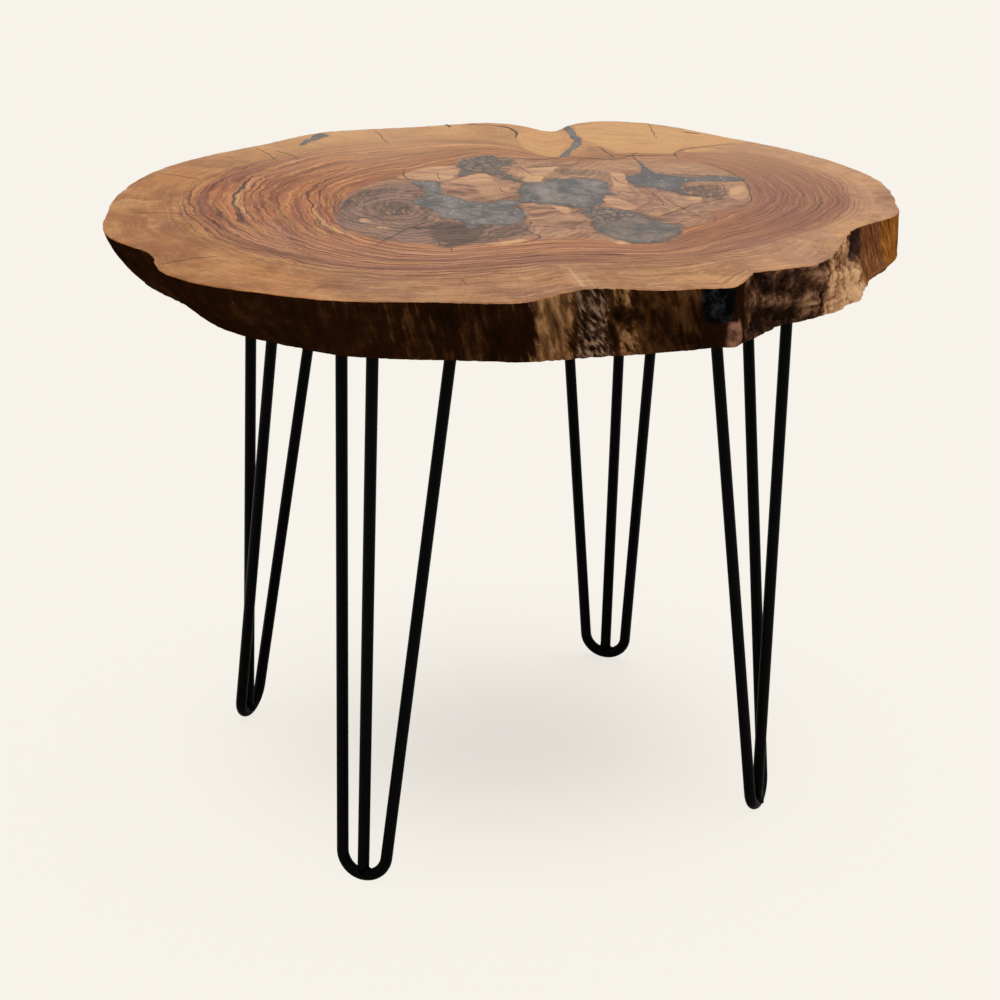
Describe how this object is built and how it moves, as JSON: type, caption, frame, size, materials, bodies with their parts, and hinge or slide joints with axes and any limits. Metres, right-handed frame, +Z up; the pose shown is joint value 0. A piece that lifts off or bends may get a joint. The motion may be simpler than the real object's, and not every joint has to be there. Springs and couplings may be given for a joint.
{
  "type": "coffee table",
  "caption": "Live-edge tree-slice coffee table: a thick round slab with resin-filled voids on three-rod steel hairpin legs.",
  "frame": {"origin": "on the floor, under the middle of the slab's outline", "axes": "+Z up; +X to the right and +Y away from someone who faces the table's front, the slab's longer way along X"},
  "size_m": [0.632, 0.532, 0.5049],
  "materials": {
    "wood": "satin oil",
    "resin": "satin",
    "black_paint": "satin",
    "screw_steel": "satin"
  },
  "bodies": {
    "root": {"live_edge_slab": "wood", "left_heart_resin": "resin", "centre_heart_resin": "resin", "lower_right_resin": "resin", "right_branch_resin": "resin", "upper_left_resin": "resin", "rear_notch_resin": "resin", "rear_left_resin": "resin", "front_left_mounting_plate": "black_paint", "front_left_u_rod": "black_paint", "front_left_third_rod": "black_paint", "front_left_welds": "black_paint", "front_left_screws": "screw_steel", "front_right_mounting_plate": "black_paint", "front_right_u_rod": "black_paint", "front_right_third_rod": "black_paint", "front_right_welds": "black_paint", "front_right_screws": "screw_steel", "back_right_mounting_plate": "black_paint", "back_right_u_rod": "black_paint", "back_right_third_rod": "black_paint", "back_right_welds": "black_paint", "back_right_screws": "screw_steel", "back_left_mounting_plate": "black_paint", "back_left_u_rod": "black_paint", "back_left_third_rod": "black_paint", "back_left_welds": "black_paint", "back_left_screws": "screw_steel"}
  },
  "joints": []
}
